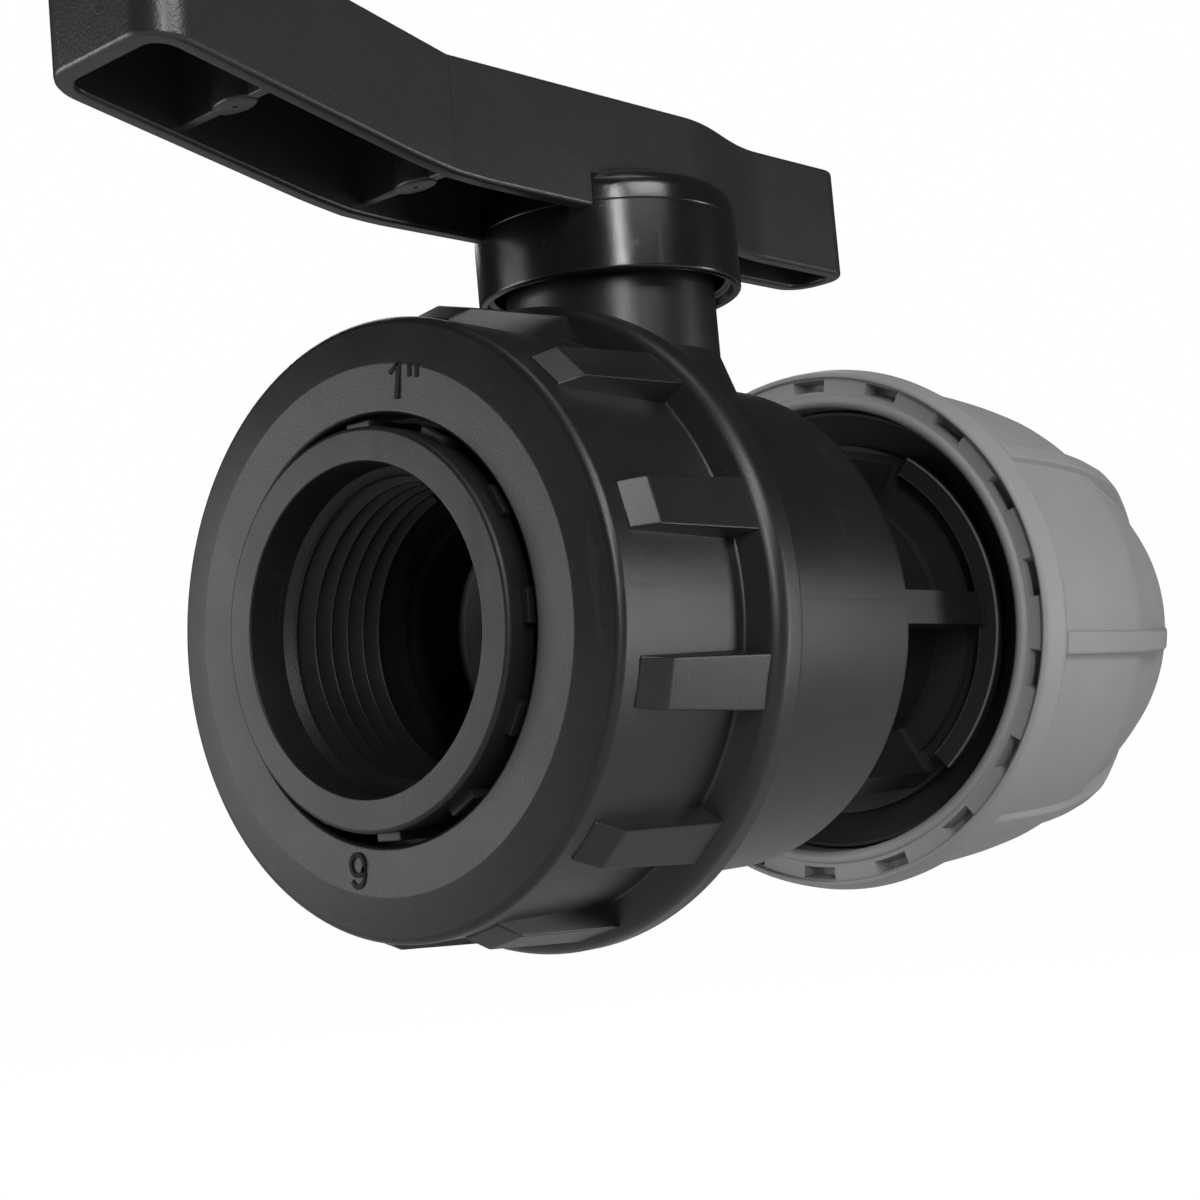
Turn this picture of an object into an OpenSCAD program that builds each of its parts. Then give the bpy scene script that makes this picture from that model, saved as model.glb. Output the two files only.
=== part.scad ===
// Shut-off ball valve with a threaded union end and a compression end for pipe.
// Millimetres, +Z up. The origin is where the flow axis crosses the stem axis, at the ball's centre.
// +X runs along the flow, from the threaded union end to the compression end. The valve is open.

/* [Ball and seats] */
// Radius of the ball
ball_r = 18.5; // [18:0.1:19.5]
// Radius of the flow bore through ball, seats and body
bore_r = 12.5; // [11.5:0.1:13]
// Distance from the ball's centre to the back of each seat
seat_back = 16.2; // [15.6:0.1:17]
// Thickness of each seat along the flow
seat_t = 6; // [5:0.1:6.4]
// Outer radius of the seats
seat_r = 17.2; // [16.6:0.1:17.6]
// Thickness of the rubber cushion behind each seat
cushion_t = 1.3; // [1:0.1:1.8]

/* [Valve body] */
// How far the round body stands out from the thread for the union nut
body_rise = 0.8; // [0.5:0.1:1.5]
// Distance from the stem axis to the body's rear shoulder
body_rear = 12.5; // [10:0.5:16]
// Distance from the stem axis to the body's front face
body_front = 32.2; // [31:0.1:34]
// Radius of the body's thread for the union nut
body_thread_r = 28.3; // [27.5:0.1:28.6]
// Free room round the ball
cavity_clear = 1.8; // [1.2:0.1:2.2]
// Wall of the rear seat's housing
housing_wall = 4.2; // [3:0.1:5]
// Radius of the upright neck round the stem
neck_r = 12.4; // [11.5:0.1:13]
// Height of the neck's top above the flow axis
neck_top = 44; // [42:0.5:45]

/* [Ribbed tail] */
// Wall of the tail's tube round the flow bore
tail_wall = 5; // [4:0.1:5]
// Outer radius of the tail's ribs
tail_rib_r = 24; // [22:0.1:25]
// Thickness of the tail's ribs
tail_rib_t = 4; // [3:0.1:5]
// Number of ribs round the tail
tail_ribs = 6; // [4:1:8]
// Distance from the stem axis to the tail's collar
collar_x = 41; // [40:0.5:44]
// Thickness of the collar
collar_t = 3; // [2:0.1:4]

/* [Compression end] */
// Outer radius of the pipe that the compression end takes
pipe_r = 16; // [15.5:0.1:16.5]
// Radial room between the pipe and what it passes through
pipe_clear = 0.15; // [0.1:0.05:0.3]
// Depth that the pipe goes into its socket
socket_depth = 15; // [12:0.5:18]
// Outer radius of the threaded barrel
barrel_r = 27.3; // [26.5:0.1:28]
// Length of the chamber for the pipe seal
chamber_len = 7; // [6:0.5:9]
// Cross-section radius of the pipe seal
pipe_seal_t = 2.3; // [2:0.1:2.5]
// Length of the pressure bush's flange
bush_flange = 2.4; // [2:0.1:3]
// Length of the grip ring
grip_len = 15; // [12:0.5:17]
// Outer radius of the grip ring's thick end
grip_big_r = 24.6; // [23.5:0.1:25]
// Outer radius of the grip ring's thin end
grip_small_r = 19.2; // [18.8:0.1:20]
// Width of the split in the grip ring
grip_split = 3; // [2:0.1:5]

/* [Compression nut] */
// Wall of the nut's front flange outside its mouth
flange_wall = 4.3; // [4:0.1:5.5]
// Distance from the stem axis to the nut's front face
flange_front = 36; // [35:0.5:37]
// Length of the front flange
flange_len = 5.3; // [4.5:0.1:6]
// How much the mouth in the nut's front face is wider than its bore, as a radius
mouth_flare = 2.7; // [2:0.1:3]
// Number of windows in the nut's front face
windows = 18; // [12:1:20]
// Length of each window round the face
window_len = 4.6; // [3:0.1:6]
// Depth of each window
window_depth = 2.6; // [1:0.1:3.5]
// Thickness of the nut's rear wall
rear_wall = 10; // [8:0.5:12]
// Number of grip ribs on the nut
nut_ribs = 7; // [5:1:9]
// Thickness of the grip ribs
nut_rib_t = 3.6; // [2.5:0.1:5]

/* [Union nut] */
// Wall of the union nut's barrel
barrel_wall = 2.9; // [2.6:0.1:4]
// How far the union nut's rear rim stands out from its barrel
rim_rise = 3.6; // [3:0.1:5]
// Distance from the stem axis to the rim's rear face
rim_rear = 17.7; // [17:0.1:18.5]
// Thickness of the rim
rim_t = 4.7; // [3.5:0.1:6]
// Distance from the stem axis to the union nut's front face
nut_front = 42.4; // [42:0.1:43.5]
// Width of the flat ring on the nut's front
front_ring_w = 5; // [4:0.1:6]
// Radial room between the nut's lip and the threaded end's tube
lip_gap = 1.9; // [1.7:0.1:2.8]
// Number of lugs
lugs = 12; // [6:1:16]
// Width of a lug at its front
lug_front_w = 4.8; // [4:0.1:6]
// Width of a lug at the rim
lug_rear_w = 5.7; // [4:0.1:7]
// Height of a lug at its front
lug_front_h = 1.6; // [1:0.1:2.5]
// Height of a lug at the rim
lug_rear_h = 2.6; // [1.5:0.1:3.4]
// Length of a lug's slanted front
lug_slant = 2.9; // [1:0.1:5]

/* [Threaded end] */
// Distance from the stem axis to the threaded end's face
port_face = 44.3; // [44:0.1:46]
// Core radius of the female pipe thread
port_core_r = 15.15; // [15:0.05:15.3]
// Radius of the smooth entry in front of the thread
port_entry_r = 16.75; // [16.6:0.05:17.2]
// Depth of the smooth entry
port_entry = 4; // [2:0.1:5]
// Outer radius of the threaded end's tube
end_tube_r = 19.7; // [19.2:0.1:20]
// How far the threaded end's flange stands out from its tube
end_flange_w = 5.3; // [4.5:0.1:5.6]
// Thickness of the threaded end's flange
end_flange_t = 4.9; // [4:0.1:5.5]
// How far the threaded end reaches into the body
spigot_len = 7.8; // [6:0.1:9]
// Number of small tabs round the threaded end's tube
tabs = 12; // [6:1:16]
// Width of each tab
tab_w = 3.4; // [1:0.1:4]
// Distance from the threaded end's face back to its tabs
tab_setback = 1.9; // [0.5:0.1:3]
// Cross-section radius of the union's face seal
face_seal_t = 1.1; // [0.8:0.1:1.3]

/* [Stem] */
// Radius of the stem
stem_r = 6.5; // [6:0.1:7]
// Radius of the stem's lower flange
stem_flange_r = 8.4; // [8:0.1:9]
// Thickness of the stem's lower flange
stem_flange_t = 2; // [1.5:0.1:2.5]
// Thickness of the stem's thrust washer
thrust_t = 0.8; // [0.5:0.1:1.2]
// Length of the stem's driving blade across the flow
blade_len = 15; // [12:0.5:16]
// Thickness of the blade
blade_t = 5; // [4:0.1:6]
// Side of the stem's square top
square_w = 9; // [8:0.1:9]
// Length of the stem's square top
square_len = 9.6; // [8:0.1:10.5]
// Cross-section radius of the stem seals
stem_seal_t = 0.78; // [0.6:0.02:0.9]

/* [Handle] */
// Distance from the stem axis to the long arm's end
long_arm = 71.5; // [60:0.5:80]
// Distance from the stem axis to the short arm's end
short_arm = 47; // [40:0.5:55]
// Half width of the long arm
long_half = 9; // [8:0.1:10]
// Half width of the short arm
short_half = 4.9; // [4.5:0.1:6]
// Distance from the stem axis to the bend in the long arm
crank_x = 34.3; // [28:0.5:40]
// Height of the handle's lower edge at the bend
crank_z = 45.8; // [45:0.1:47]
// Height of the handle's side at the bend
side_h = 13; // [12:0.1:15]
// Rise of the long arm's end above the bend
end_rise = 6.6; // [3:0.1:9]
// Rise of the lower edge from the bend to the short arm's end
low_rise = 2; // [0:0.1:3]
// Rise of the top from the bend to the short arm's end
top_rise = 3.7; // [2:0.1:5]
// Wall of the handle's hollow shell
shell_wall = 2; // [1.5:0.1:2.5]
// Thickness of the cross ribs in the hollow
web_t = 1.6; // [1.2:0.1:2.5]
// Radius of the round hub over the neck
hub_r = 15.6; // [15.4:0.1:17]
// Height of the hub's lower rim above the flow axis
hub_low = 39.1; // [38:0.1:41]
// Wall of the hub's skirt
hub_wall = 1.9; // [1.5:0.1:2.2]
// Angle through which the handle turns from open to shut
turn_deg = 90; // [80:1:100]
// Radius of the handle screw's shank
screw_r = 2; // [1.5:0.1:2.5]
// Radius of the handle screw's head
screw_head_r = 4.4; // [3.5:0.1:5]
// Radius of the handle's round cap
cap_r = 7.4; // [6.5:0.1:8]

/* [Hidden] */
$fn = 96;
// Gap between faces that meet, between seated round pieces, and between a shaft and its bore
face_gap = 0.3;
seat_gap = 0.1;
run_gap = 0.06;
// Extra length of a cutting tool past the face it cuts
past = 1;

cavity_r = ball_r + cavity_clear;
housing_r = seat_r + seat_gap + housing_wall;
pocket_x = seat_back + cushion_t + seat_gap;
tail_r = bore_r + tail_wall;
socket_r = pipe_r + pipe_clear;
way_r = socket_r + seat_gap;
barrel_x = collar_x + collar_t;
stop_x = barrel_x - 2;
socket_end = stop_x + socket_depth;
barrel_end = socket_end + chamber_len;
chamber_r = way_r + 2 * pipe_seal_t + seat_gap;
bush_end = barrel_end + face_gap + bush_flange;
grip_x = bush_end + face_gap;
grip_end = grip_x + grip_len;
nut_bore_r = barrel_r + face_gap;
mouth_r = nut_bore_r + mouth_flare;
flange_r = mouth_r + flange_wall;
cone_x = grip_x;
cone_end = grip_end + face_gap;
nut_end = cone_end + rear_wall;
flange_rear = flange_front + flange_len;

carrier_front = -body_front + spigot_len + face_gap;
spigot_end = -body_front + spigot_len;
flange_face = -body_front - face_gap;
flange_start = flange_face - end_flange_t;
carrier_r = cavity_r - face_gap;
carrier_end = -seat_back + 4.4;
body_r = body_thread_r + body_rise;
union_bore_r = body_thread_r + face_gap;
barrel_nut_r = union_bore_r + barrel_wall;
rim_r = barrel_nut_r + rim_rise;
lip_r = end_tube_r + lip_gap;
front_ring_r = lip_r + front_ring_w;
end_flange_r = end_tube_r + end_flange_w;
spigot_r = cavity_r - 2 * face_gap;

pocket_top = cavity_r + 2.4;
thrust_z = pocket_top - thrust_t - run_gap;
flange_top = thrust_z - run_gap;
flange_low = flange_top - stem_flange_t;
blade_low = bore_r + 2.1;
slot_clear = 0.2;
thrust_r = stem_flange_r + 0.2;
stem_top = neck_top + 0.6;
square_top = stem_top + square_len;
seal_z = [pocket_top + 5, pocket_top + 10];
screw_hole_r = screw_r + run_gap;
screw_depth = 10;

cup_top = neck_top + 2.4;
cup_r = hub_r - hub_wall;
hub_top = 50.2;
hub_round = 2;
socket_top = square_top + 0.2;
web_top = socket_top + 1.8;
washer_t = 1;
head_z = web_top + washer_t;
head_h = 1.5;
cap_z = head_z + head_h + 0.1;
cap_t = 1.2;
bend_start = 6;
bend_len = 21;
end_round = 4;
webs_x = [-long_arm + 15.5, -crank_x + 2.1];
stop_deg = 24;
key_gap_deg = 1.5;
key_r = neck_r - 3.6;

// Turns a child's own Z axis to the flow axis
module along_x() {
    rotate([0, 90, 0]) children();
}

// A piece turned about the flow axis, from points [radius, distance along the flow]
module turned(points) {
    along_x() rotate_extrude() polygon(points);
}

// A rod or a tube along the flow, from start to end
module rod(start, end, r) {
    translate([start, 0, 0]) along_x() cylinder(h = end - start, r = r);
}

module tube(start, end, r_out, r_in) {
    turned([[r_in, start], [r_out, start], [r_out, end], [r_in, end]]);
}

// A rubber ring about the flow axis
module ring_x(x, r_mid, r_cord) {
    translate([x, 0, 0]) along_x() rotate_extrude() translate([r_mid, 0]) circle(r = r_cord, $fn = 32);
}

// Copies the children evenly about the flow axis, the first at the given angle from -Y
module around_x(count, first = 0) {
    for (i = [0 : count - 1]) rotate([first + i * 360 / count, 0, 0]) children();
}

// A block round the stem axis between two angles
module sector(r_in, r_out, start_deg, end_deg, z0, z1) {
    rotate([0, 0, start_deg]) rotate_extrude(angle = end_deg - start_deg)
        translate([r_in, z0]) square([r_out - r_in, z1 - z0]);
}

// The stationary stops lie just outside the key's travel, and the key hangs in the handle's hub
key_mid = 200;
module stops() {
    key_half = stop_deg / 2;
    sector(key_r, neck_r, key_mid + key_half + key_gap_deg,
        key_mid + key_half + key_gap_deg + stop_deg, neck_top - past, cup_top - face_gap);
    sector(key_r, neck_r, key_mid - turn_deg - key_half - key_gap_deg - stop_deg,
        key_mid - turn_deg - key_half - key_gap_deg, neck_top - past, cup_top - face_gap);
}

// The neck's foot widens into the body down to this height
foot_flare = 2.2;
foot_low = sqrt(body_r * body_r - pow(neck_r + foot_flare, 2)) - 0.5;

module valve_body() {
    color([0.09, 0.09, 0.095]) difference() {
        union() {
            turned([[0, -body_front], [body_thread_r, -body_front], [body_thread_r, -rim_rear],
                [body_r, -rim_rear + face_gap], [body_r, body_rear - 0.6], [body_r - 0.6, body_rear],
                [housing_r, body_rear], [housing_r, pocket_x + housing_wall],
                [tail_r, pocket_x + 2 * housing_wall], [tail_r, collar_x - 1.4],
                [tail_rib_r - 3, collar_x - 1.4], [tail_rib_r - 3, collar_x],
                [tail_rib_r + 0.5, collar_x], [tail_rib_r + 0.5, barrel_x], [barrel_r, barrel_x],
                [barrel_r, barrel_end], [0, barrel_end]]);
            around_x(tail_ribs) tail_rib();
            cylinder(h = neck_top, r = neck_r);
            intersection() {
                translate([0, 0, foot_low])
                    cylinder(h = body_r + 2 - foot_low, r1 = neck_r + foot_flare, r2 = neck_r);
                rod(-rim_rear + face_gap, body_rear - 0.6, 2 * body_r);
            }
            stops();
        }
        rod(-body_front - past, seat_back - seat_t, cavity_r);
        rod(0, pocket_x, seat_r + seat_gap);
        rod(0, barrel_end, bore_r);
        rod(stop_x, barrel_end, socket_r);
        rod(socket_end, barrel_end + past, chamber_r);
        cylinder(h = pocket_top, r = thrust_r + seat_gap);
        cylinder(h = neck_top + past, r = stem_r + run_gap);
    }
}

module tail_rib() {
    translate([body_rear - past, -tail_rib_r, -tail_rib_t / 2])
        cube([collar_x - body_rear + 2 * past, tail_rib_r - tail_r + past, tail_rib_t]);
}

module ball() {
    color([0.12, 0.12, 0.125]) difference() {
        sphere(r = ball_r);
        rod(-ball_r - past, ball_r + past, bore_r);
        translate([-blade_t / 2 - slot_clear, -ball_r, blade_low - slot_clear])
            cube([blade_t + 2 * slot_clear, 2 * ball_r, ball_r]);
    }
}

// A seat at the rear side. Its face is hollowed to the ball
module seat() {
    difference() {
        tube(seat_back - seat_t, seat_back, seat_r, bore_r + 0.2);
        sphere(r = ball_r + run_gap);
    }
}

module front_seat() {
    color("whitesmoke") mirror([1, 0, 0]) seat();
}

module rear_seat() {
    color("whitesmoke") seat();
}

module cushion() {
    tube(seat_back + seat_gap / 2, seat_back + cushion_t, seat_r - 0.4, bore_r + 1.2);
}

module front_cushion() {
    color([0.06, 0.06, 0.06]) mirror([1, 0, 0]) cushion();
}

module rear_cushion() {
    color([0.06, 0.06, 0.06]) cushion();
}

carrier_seal_t = 0.95;
carrier_seal_x = carrier_front + 2.6;

module seat_carrier() {
    groove_r = carrier_r - 2 * carrier_seal_t + seat_gap;
    color([0.16, 0.16, 0.17]) difference() {
        tube(carrier_front, carrier_end, carrier_r, bore_r);
        rod(-pocket_x, carrier_end + past, seat_r + seat_gap);
        tube(carrier_seal_x - carrier_seal_t - seat_gap, carrier_seal_x + carrier_seal_t + seat_gap,
            carrier_r + past, groove_r);
        around_x(2) translate([carrier_front - past, -carrier_r + 1.2, -1.5])
            cube([past + 2, 3.4, 3]);
    }
}

module carrier_seal() {
    color([0.05, 0.05, 0.05])
        ring_x(carrier_seal_x, cavity_r - seat_gap / 2 - carrier_seal_t, carrier_seal_t);
}

module thrust_washer() {
    color("whitesmoke") translate([0, 0, thrust_z]) difference() {
        cylinder(h = thrust_t, r = thrust_r);
        translate([0, 0, -past]) cylinder(h = thrust_t + 2 * past, r = stem_r + run_gap);
    }
}

module stem() {
    groove_r = stem_r - 2 * stem_seal_t - run_gap;
    color([0.14, 0.14, 0.15]) difference() {
        union() {
            translate([0, 0, flange_low]) cylinder(h = stem_flange_t, r = stem_flange_r);
            translate([0, 0, flange_low]) cylinder(h = stem_top - flange_low, r = stem_r);
            translate([-square_w / 2, -square_w / 2, stem_top]) cube([square_w, square_w, square_len]);
            translate([-blade_t / 2, -blade_len / 2, blade_low]) cube([blade_t, blade_len, flange_low - blade_low]);
        }
        for (z = seal_z) translate([0, 0, z - stem_seal_t - run_gap]) difference() {
            cylinder(h = 2 * (stem_seal_t + run_gap), r = stem_r + past);
            translate([0, 0, -past]) cylinder(h = 4 * past + stem_seal_t, r = groove_r);
        }
        translate([0, 0, square_top - screw_depth]) cylinder(h = screw_depth + past, r = screw_hole_r);
    }
}

module stem_seals() {
    color([0.05, 0.05, 0.05]) for (z = seal_z) translate([0, 0, z]) rotate_extrude()
        translate([stem_r - stem_seal_t, 0]) circle(r = stem_seal_t, $fn = 32);
}

// The handle's lower edge and top at a place along it, as heights above the flow axis
function low_z(x) = x < -crank_x
    ? crank_z + end_rise * (-crank_x - x) / (long_arm - crank_x)
    : crank_z + low_rise * (x + crank_x) / (short_arm + crank_x);
function top_z(x) = side_h + (x < -crank_x
    ? crank_z + end_rise * (-crank_x - x) / (long_arm - crank_x)
    : crank_z + top_rise * (x + crank_x) / (short_arm + crank_x));

// Half width of the handle at a place along it: an S between the long arm and the short arm
function smooth(t) = t * t * (3 - 2 * t);
function half_w(x) = long_half - (long_half - short_half) * smooth(min(1, max(0, (x - bend_start) / bend_len)));

// One side of the handle seen from above, drawn a given distance inside the outer wall
function corner(cx, cy, r, a0, a1) = [for (i = [0 : 5]) let(a = a0 + (a1 - a0) * i / 5)
    [cx + r * cos(a), cy + r * sin(a)]];
function side_points(inset) = let(
    round_long = end_round - inset * 0.8,
    round_short = short_half - 0.6 - inset * 0.8)
    concat(
        corner(-long_arm + inset + round_long, half_w(-long_arm) - inset - round_long, round_long, 180, 90),
        [for (i = [0 : 10]) let(x = bend_start + bend_len * i / 10) [x, half_w(x) - inset]],
        corner(short_arm - inset - round_short, half_w(short_arm) - inset - round_short, round_short, 90, 0));
function plan(inset) = let(side = side_points(inset), n = len(side))
    concat(side, [for (i = [0 : n - 1]) [side[n - 1 - i][0], -side[n - 1 - i][1]]]);

// The handle's form: its outline from above, cut to its outline from the side
module handle_form(inset, drop, top_cut) {
    intersection() {
        linear_extrude(height = 90) polygon(plan(inset));
        translate([0, 40, 0]) rotate([90, 0, 0]) linear_extrude(height = 80) polygon([
            [-long_arm - past, low_z(-long_arm - past) - drop], [-crank_x, low_z(-crank_x) - drop],
            [short_arm + past, low_z(short_arm + past) - drop],
            [short_arm + past, top_z(short_arm + past) - top_cut], [-crank_x, top_z(-crank_x) - top_cut],
            [-long_arm - past, top_z(-long_arm - past) - top_cut]]);
    }
}

// A cross rib in the handle's hollow, thickened in the middle
module web(x) {
    low = low_z(x) + 0.8;
    high = top_z(x) - shell_wall / 2;
    translate([x - web_t / 2, -long_half + shell_wall / 2, low])
        cube([web_t, 2 * long_half - shell_wall, high - low]);
    translate([x, 0, low]) cylinder(h = high - low, r = 2.6);
}

module handle() {
    key_half = stop_deg / 2;
    tower_r = cap_r + 1.8;
    color([0.08, 0.08, 0.085]) difference() {
        union() {
            difference() {
                handle_form(0, 0, 0);
                handle_form(shell_wall, 12, shell_wall);
            }
            for (x = webs_x) web(x);
            translate([0, 0, cup_top]) intersection() {
                cylinder(h = top_z(0) - cup_top - shell_wall / 2, r = tower_r);
                translate([-tower_r, -long_half + shell_wall / 2, 0])
                    cube([2 * tower_r, 2 * long_half - shell_wall, 40]);
            }
            rotate_extrude() polygon(concat(
                [[0, cup_top], [cup_r, cup_top], [cup_r, hub_low + 0.5], [cup_r + 0.3, hub_low],
                    [hub_r - 0.5, hub_low], [hub_r, hub_low + 0.5]],
                [for (i = [0 : 6]) [hub_r - hub_round + hub_round * cos(i * 15),
                    hub_top - hub_round + hub_round * sin(i * 15)]],
                [[0, hub_top]]));
            sector(key_r, cup_r + hub_wall / 2, key_mid - key_half, key_mid + key_half,
                neck_top + face_gap, cup_top + past);
        }
        translate([-square_w / 2 - seat_gap, -square_w / 2 - seat_gap, cup_top - past])
            cube([square_w + 2 * seat_gap, square_w + 2 * seat_gap, socket_top - cup_top + past]);
        translate([0, 0, cup_top]) cylinder(h = 40, r = screw_r + 0.5);
        translate([0, 0, web_top]) cylinder(h = 40, r = cap_r + seat_gap);
    }
}

module handle_washer() {
    color("silver") translate([0, 0, web_top]) difference() {
        cylinder(h = washer_t, r = screw_head_r + 1);
        translate([0, 0, -past]) cylinder(h = washer_t + 2 * past, r = screw_r + 0.3);
    }
}

module handle_screw() {
    shank = screw_depth - 2;
    slot_w = screw_head_r / 5;
    color("silver") difference() {
        union() {
            translate([0, 0, square_top - shank]) cylinder(h = head_z + 0.2 - square_top + shank, r = screw_r);
            translate([0, 0, head_z]) cylinder(h = head_h, r = screw_head_r);
        }
        for (a = [0, 90]) rotate([0, 0, a])
            translate([-screw_head_r / 2, -slot_w / 2, head_z + head_h / 3])
            cube([screw_head_r, slot_w, head_h]);
    }
}

module handle_cap() {
    color([0.08, 0.08, 0.085]) translate([0, 0, cap_z]) cylinder(h = cap_t, r = cap_r);
}

seal_mid = (end_tube_r + end_flange_r) / 2;

module end_connector() {
    tab_front = port_face - tab_setback;
    thread_end = spigot_end - 2;
    color([0.1, 0.1, 0.105]) difference() {
        union() {
            turned([[port_entry_r, -port_face + 0.4], [port_entry_r + 0.4, -port_face],
                [end_tube_r - 0.6, -port_face], [end_tube_r, -port_face + 0.6],
                [end_tube_r, flange_start], [end_flange_r, flange_start], [end_flange_r, flange_face],
                [spigot_r, flange_face], [spigot_r, spigot_end], [port_core_r - 1.5, spigot_end],
                [port_core_r - 1.5, thread_end], [port_core_r, thread_end],
                [port_core_r, -port_face + port_entry + 1.4], [port_entry_r, -port_face + port_entry]]);
            around_x(tabs) translate([-tab_front, -lip_r + face_gap, -tab_w / 2])
                cube([tab_front + flange_start + past, lip_r - end_tube_r + past, tab_w]);
        }
        tube(flange_face - 2 * face_seal_t + face_gap - seat_gap, flange_face + past,
            seal_mid + face_seal_t + seat_gap, seal_mid - face_seal_t - seat_gap);
    }
}

module face_seal() {
    color([0.05, 0.05, 0.05])
        ring_x(flange_face + face_gap - seat_gap / 2 - face_seal_t, seal_mid, face_seal_t);
}

// A lug that rises from a slanted front towards the rim, drawn facing -Y
module lug() {
    front_x = -nut_front + 3.6;
    rear_x = -rim_rear - rim_t / 2;
    base = -barrel_nut_r + past;
    intersection() {
        linear_extrude(height = lug_rear_w, center = true) polygon([[front_x, base],
            [front_x, -barrel_nut_r + 0.2], [front_x + lug_slant, -barrel_nut_r - lug_front_h],
            [rear_x, -barrel_nut_r - lug_rear_h], [rear_x, base]]);
        rotate([90, 0, 0]) linear_extrude(height = 2 * rim_r)
            polygon([[front_x - past, -lug_front_w / 2], [rear_x, -lug_rear_w / 2],
                [rear_x, lug_rear_w / 2], [front_x - past, lug_front_w / 2]]);
    }
}

module union_nut() {
    step = flange_face;
    color([0.09, 0.09, 0.095]) union() {
        turned([[lip_r, -nut_front + 1], [lip_r + 0.8, -nut_front + 0.1], [front_ring_r, -nut_front],
            [barrel_nut_r - 0.8, -nut_front + 0.9], [barrel_nut_r, -nut_front + 1.7],
            [barrel_nut_r, -rim_rear - rim_t - 0.3], [rim_r - 0.8, -rim_rear - rim_t + 1.2],
            [rim_r, -rim_rear - rim_t + 2], [rim_r, -rim_rear - 0.8], [rim_r - 0.8, -rim_rear],
            [union_bore_r + 0.4, -rim_rear], [union_bore_r, -rim_rear - 0.4], [union_bore_r, step],
            [end_flange_r + face_gap, step], [end_flange_r + face_gap, flange_start - face_gap],
            [lip_r, flange_start - face_gap]]);
        around_x(lugs, 180 / lugs) lug();
    }
}

module pipe_seal() {
    color([0.05, 0.05, 0.05]) ring_x(socket_end + seat_gap + pipe_seal_t, way_r + pipe_seal_t, pipe_seal_t);
}

module pressure_bush() {
    start = socket_end + seat_gap + 2 * pipe_seal_t + seat_gap;
    color([0.75, 0.75, 0.74]) turned([[way_r, start], [chamber_r - face_gap, start],
        [chamber_r - face_gap, barrel_end + face_gap], [grip_big_r, barrel_end + face_gap],
        [grip_big_r, bush_end], [way_r, bush_end]]);
}

module grip_ring() {
    color([0.85, 0.86, 0.87]) difference() {
        turned([[way_r, grip_x], [grip_big_r, grip_x], [grip_small_r, grip_end], [way_r, grip_end]]);
        for (i = [1 : 4]) translate([grip_x + i * grip_len / 5, 0, 0])
            turned([[way_r - past, -1.4], [way_r + 0.9, 0.7], [way_r - past, 0.7]]);
        translate([grip_x - past, 0, -grip_split / 2]) cube([grip_len + 2 * past, 30, grip_split]);
    }
}

// Outer radius of the compression nut's skin between its ribs, and of its ribs
skin_mid_x = flange_rear + 23.2;
skin_rear_x = nut_end - 12.3;
skin = [[flange_r - 1.2, flange_rear], [flange_r - 1.3, flange_rear + 13], [flange_r - 2.2, skin_mid_x],
    [flange_r - 3.4, skin_mid_x + 5], [grip_small_r + 9.2, skin_rear_x],
    [grip_small_r + 7.3, skin_rear_x + 6], [grip_small_r + 5.1, nut_end]];
rib_edge = [[flange_r - 0.8, flange_rear - past], [flange_r - 0.9, flange_rear + 13],
    [flange_r - 1.6, skin_mid_x - 2.5], [flange_r - 2.5, skin_mid_x + 3.5], [flange_r - 2.9, skin_mid_x + 9.5],
    [grip_small_r + 10.6, skin_rear_x], [grip_small_r + 8, skin_rear_x + 6], [grip_small_r + 5.7, nut_end - 0.8]];

module nut_rib() {
    rotate([90, 0, 0]) linear_extrude(height = nut_rib_t, center = true) polygon(concat(
        [for (p = rib_edge) [p[1], p[0]]],
        [[nut_end - 0.8, way_r + 2], [flange_rear - past, nut_bore_r + 2]]));
}

module compression_nut() {
    window_r = (mouth_r + flange_r - 2.1) / 2 + 0.3;
    color([0.42, 0.42, 0.43]) difference() {
        union() {
            turned(concat([[way_r + 0.4, flange_front + 8], [mouth_r, flange_front],
                [flange_r - 1.9, flange_front], [flange_r - 0.8, flange_front + 0.8],
                [flange_r, flange_rear - 0.6], [flange_r - 0.6, flange_rear]],
                skin, [[way_r + 0.4, nut_end]]));
            around_x(nut_ribs, 10) rotate([90, 0, 0]) nut_rib();
        }
        turned([[0, flange_front - past], [mouth_r, flange_front - past], [mouth_r, flange_front],
            [nut_bore_r, flange_front + 4], [nut_bore_r, cone_x - 1.2],
            [grip_big_r + face_gap, cone_x], [grip_small_r + face_gap, cone_end],
            [way_r + 0.4, cone_end], [way_r + 0.4, nut_end + past], [0, nut_end + past]]);
        around_x(windows, -5) translate([flange_front - past, -window_r - 0.8, -window_len / 2])
            cube([window_depth + past, 1.6, window_len]);
    }
}

valve_body();
ball();
front_seat();
rear_seat();
front_cushion();
rear_cushion();
seat_carrier();
carrier_seal();
thrust_washer();
stem();
stem_seals();
handle();
handle_washer();
handle_screw();
handle_cap();
end_connector();
face_seal();
union_nut();
pipe_seal();
pressure_bush();
grip_ring();
compression_nut();
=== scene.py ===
import math

import bmesh
import bpy
from mathutils import Matrix, Vector


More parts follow.
